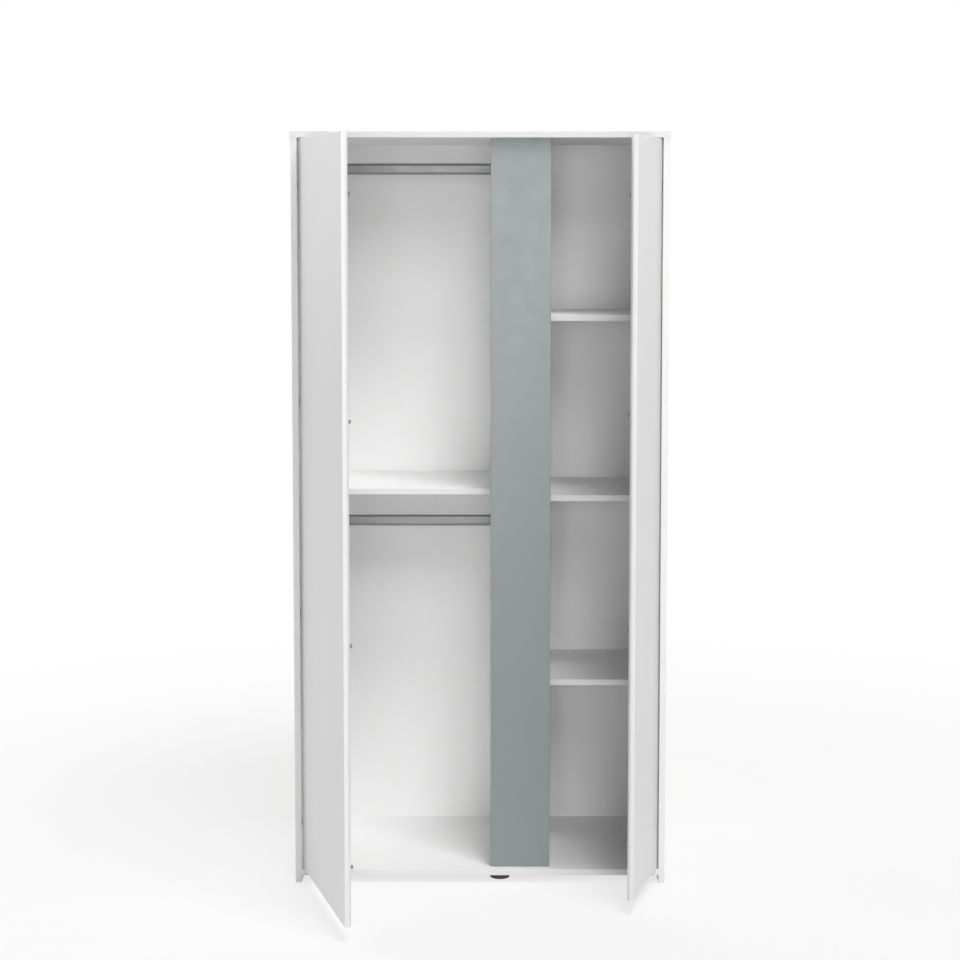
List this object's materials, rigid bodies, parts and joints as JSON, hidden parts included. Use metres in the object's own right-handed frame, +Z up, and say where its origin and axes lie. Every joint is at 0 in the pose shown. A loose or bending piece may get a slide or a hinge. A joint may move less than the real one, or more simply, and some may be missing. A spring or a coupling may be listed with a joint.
{
  "type": "wardrobe",
  "caption": "Tall free-standing wardrobe with inset hinged doors, a hanging side with clothes rails, a shelved side and a fixed recessed front panel between the doors.",
  "frame": {"origin": "on the floor, below the middle of the carcass (its width, and the depth of its boards); the open doors stand in front of it", "axes": "+Z up, -Y out of the front, +X to the right as seen from the front"},
  "size_m": [0.991, 1.0072, 1.995],
  "materials": {
    "white_board": "white melamine-faced chipboard, satin",
    "white_front": "white foil-wrapped board, satin",
    "grey_front": "grey-blue lacquered board, satin",
    "back_board": "thin white-faced hardboard",
    "rail_tube": "satin oval tube",
    "grey_plastic": "moulded",
    "black_plastic": "moulded, fine texture",
    "white_plastic": "moulded",
    "clear_bumper": "soft translucent grey",
    "beech": "fluted beech",
    "zinc": "die-cast zinc",
    "nickel_steel": "nickel-plated steel",
    "steel_screw": "zinc-plated steel"
  },
  "bodies": {
    "carcass": {"back_nails": "steel_screw", "back_sheet_left": "back_board", "back_sheet_right": "back_board", "bottom_panel": "white_board", "cam_bolts": "steel_screw", "cams": "zinc", "dowels": "beech", "floor_glides": "white_plastic", "foot_screws": "steel_screw", "front_foot": "black_plastic", "front_panel": "grey_front", "hanging_shelf": "white_board", "hanging_shelf_supports": "nickel_steel", "left_hinge_arm_screws": "steel_screw", "left_hinge_arms": "nickel_steel", "left_hinge_plate_screws": "steel_screw", "left_hinge_plates": "nickel_steel", "left_side_panel": "white_board", "lower_rail": "rail_tube", "lower_rail_sockets": "grey_plastic", "lower_shelf": "white_board", "lower_shelf_supports": "nickel_steel", "middle_shelf": "white_board", "middle_shelf_supports": "nickel_steel", "partition": "white_board", "rail_screws": "steel_screw", "rear_foot": "black_plastic", "right_hinge_arm_screws": "steel_screw", "right_hinge_arms": "nickel_steel", "right_hinge_plate_screws": "steel_screw", "right_hinge_plates": "nickel_steel", "right_side_panel": "white_board", "top_panel": "white_board", "upper_rail": "rail_tube", "upper_rail_sockets": "grey_plastic", "upper_shelf": "white_board", "upper_shelf_supports": "nickel_steel"},
    "left_door": {"left_door": "white_front", "left_hinge_cups": "nickel_steel", "left_hinge_pins": "nickel_steel", "left_hinge_cup_screws": "steel_screw", "left_door_bumpers": "clear_bumper"},
    "right_door": {"right_door": "white_front", "right_hinge_cups": "nickel_steel", "right_hinge_pins": "nickel_steel", "right_hinge_cup_screws": "steel_screw", "right_door_bumpers": "clear_bumper"}
  },
  "joints": [
    {"name": "left_door_hinge", "type": "hinge", "parent": "carcass", "child": "left_door", "pos_m": [-0.4645, -0.2505, 1.0085], "axis": [0, 0, -1], "range_deg": [-74, 26]},
    {"name": "right_door_hinge", "type": "hinge", "parent": "carcass", "child": "right_door", "pos_m": [0.4645, -0.2505, 1.0085], "axis": [0, 0, 1], "range_deg": [-74, 26]}
  ]
}
